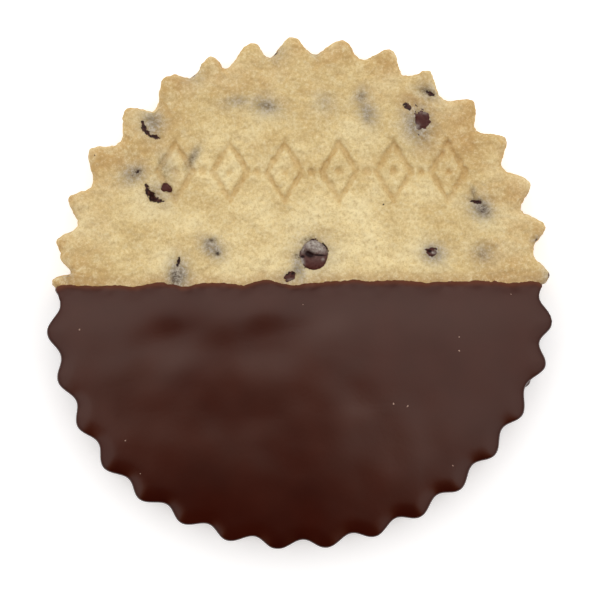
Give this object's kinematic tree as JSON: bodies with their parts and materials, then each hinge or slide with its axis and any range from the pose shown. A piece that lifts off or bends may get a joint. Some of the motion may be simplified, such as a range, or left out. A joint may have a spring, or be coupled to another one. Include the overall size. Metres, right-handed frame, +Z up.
{
  "type": "chocolate-dipped shortbread",
  "caption": "Round toothed shortbread biscuit with chocolate chips and a pressed row of lozenges, half dipped in dark chocolate, lying flat.",
  "frame": {"origin": "middle of the biscuit's box in X and Y, on the surface that it lies on", "axes": "+Z up, out of the face with the chips; +Y towards the bare end and -Y towards the dipped end; +X to the right as seen from above"},
  "size_m": [0.0752, 0.0762, 0.0111],
  "materials": {
    "shortbread": "dry, sandy baked dough with dark chips",
    "chocolate": "set dark chocolate with a soft sheen"
  },
  "bodies": {
    "root": {"shortbread": "shortbread", "chocolate_coat": "chocolate"}
  },
  "joints": []
}
